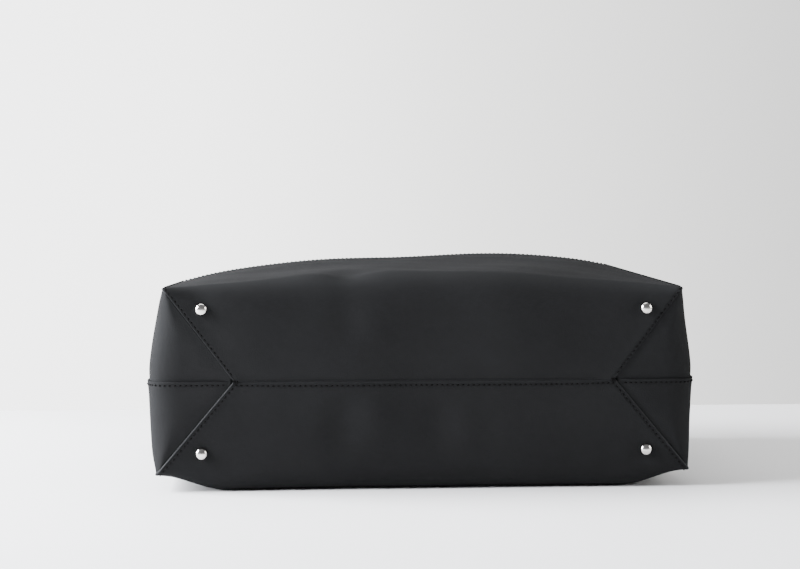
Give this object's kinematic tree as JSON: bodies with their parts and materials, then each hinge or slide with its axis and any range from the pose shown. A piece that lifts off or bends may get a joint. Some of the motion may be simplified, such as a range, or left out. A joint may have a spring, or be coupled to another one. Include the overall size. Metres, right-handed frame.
{
  "type": "diaper bag",
  "caption": "Soft leather diaper tote lying on its back, with a boxed seamed base on metal feet, zipped mouth, rolled handles on rings, lining and bottle pockets.",
  "frame": {"origin": "middle of the flat patch of the back panel that the bag lies on, at the surface it rests on and halfway between base and hem", "axes": "+X across the bag's width, +Y from the base to the mouth and handles, +Z from the back panel to the front panel, so -Z points at the surface it lies on; the base with its feet faces -Y"},
  "size_m": [0.435, 0.5727, 0.1774],
  "materials": {
    "leather_black": "matte smooth grain",
    "lining_fabric": "plain woven twill",
    "board": "matte",
    "nickel": "polished",
    "zip_tape": "woven tape",
    "zip_metal": "satin"
  },
  "bodies": {
    "bag": {"front_panel": "leather_black", "back_panel": "leather_black", "side_left_front": "leather_black", "side_left_back": "leather_black", "side_right_front": "leather_black", "side_right_back": "leather_black", "facing_front": "leather_black", "facing_back": "leather_black", "facing_left": "leather_black", "facing_right": "leather_black", "lining_front": "lining_fabric", "lining_back": "lining_fabric", "lining_left": "lining_fabric", "lining_right": "lining_fabric", "bottle_pocket_left": "lining_fabric", "bottle_pocket_right": "lining_fabric", "slip_pocket": "lining_fabric", "base_board": "board", "foot_front_left": "nickel", "foot_front_right": "nickel", "foot_back_left": "nickel", "foot_back_right": "nickel", "foot_washer_front_left": "nickel", "foot_washer_front_right": "nickel", "foot_washer_back_left": "nickel", "foot_washer_back_right": "nickel", "zip_gusset_front": "leather_black", "zip_gusset_back": "leather_black", "zip_end_left": "zip_tape", "zip_end_right": "zip_tape", "handle_tab_front_left": "leather_black", "handle_tab_front_right": "leather_black", "handle_tab_back_left": "leather_black", "handle_tab_back_right": "leather_black", "strap_tab_left": "leather_black", "strap_tab_right": "leather_black"},
    "zip_half_front": {"zip_panel_front": "leather_black", "zip_tape_front": "zip_tape", "zip_teeth_front": "zip_metal"},
    "zip_half_back": {"zip_panel_back": "leather_black", "zip_tape_back": "zip_tape", "zip_teeth_back": "zip_metal"},
    "slider": {"zip_slider": "nickel"},
    "pull": {"zip_pull": "nickel", "zip_pull_tab": "leather_black"},
    "rings_front": {"ring_front_left": "nickel", "ring_front_right": "nickel"},
    "rings_back": {"ring_back_left": "nickel", "ring_back_right": "nickel"},
    "handle_front": {"handle_front": "leather_black", "handle_loop_front_left": "leather_black", "handle_loop_front_right": "leather_black"},
    "handle_back": {"handle_back": "leather_black", "handle_loop_back_left": "leather_black", "handle_loop_back_right": "leather_black"},
    "strap_ring_left": {"strap_ring_left": "nickel"},
    "strap_ring_right": {"strap_ring_right": "nickel"}
  },
  "joints": [
    {"name": "zip_front_fold", "type": "hinge", "parent": "bag", "child": "zip_half_front", "pos_m": [0, 0.1338, 0.1465], "axis": [1, 0, 0], "range_deg": [-80, 0]},
    {"name": "zip_back_fold", "type": "hinge", "parent": "bag", "child": "zip_half_back", "pos_m": [0, 0.1338, 0.0295], "axis": [1, 0, 0], "range_deg": [0, 80]},
    {"name": "slider_run", "type": "slide", "parent": "bag", "child": "slider", "axis": [1, 0, 0], "range_m": [-0.392, 0]},
    {"name": "pull_swing", "type": "hinge", "parent": "slider", "child": "pull", "pos_m": [0.196, 0.1393, 0.088], "axis": [1, 0, 0], "range_deg": [0, 175]},
    {"name": "rings_front_swing", "type": "hinge", "parent": "bag", "child": "rings_front", "pos_m": [0, 0.161, 0.16], "axis": [1, 0, 0], "range_deg": [0, 100]},
    {"name": "handle_front_swing", "type": "hinge", "parent": "rings_front", "child": "handle_front", "pos_m": [0, 0.1654, 0.14358], "axis": [1, 0, 0], "range_deg": [0, 75]},
    {"name": "rings_back_swing", "type": "hinge", "parent": "bag", "child": "rings_back", "pos_m": [0, 0.161, 0.0095], "axis": [1, 0, 0], "range_deg": [0, 38]},
    {"name": "handle_back_swing", "type": "hinge", "parent": "rings_back", "child": "handle_back", "pos_m": [0, 0.17799, 0.00891], "axis": [1, 0, 0], "range_deg": [0, 36]},
    {"name": "strap_ring_left_swing", "type": "hinge", "parent": "bag", "child": "strap_ring_left", "pos_m": [-0.2131, 0.161, 0.088], "axis": [0, 0, 1], "range_deg": [-70, 70]},
    {"name": "strap_ring_right_swing", "type": "hinge", "parent": "bag", "child": "strap_ring_right", "pos_m": [0.2131, 0.161, 0.088], "axis": [0, 0, 1], "range_deg": [-70, 70]}
  ],
  "couplings": [
    {"joint": "zip_back_fold", "follows": "zip_front_fold", "ratio": -1}
  ]
}
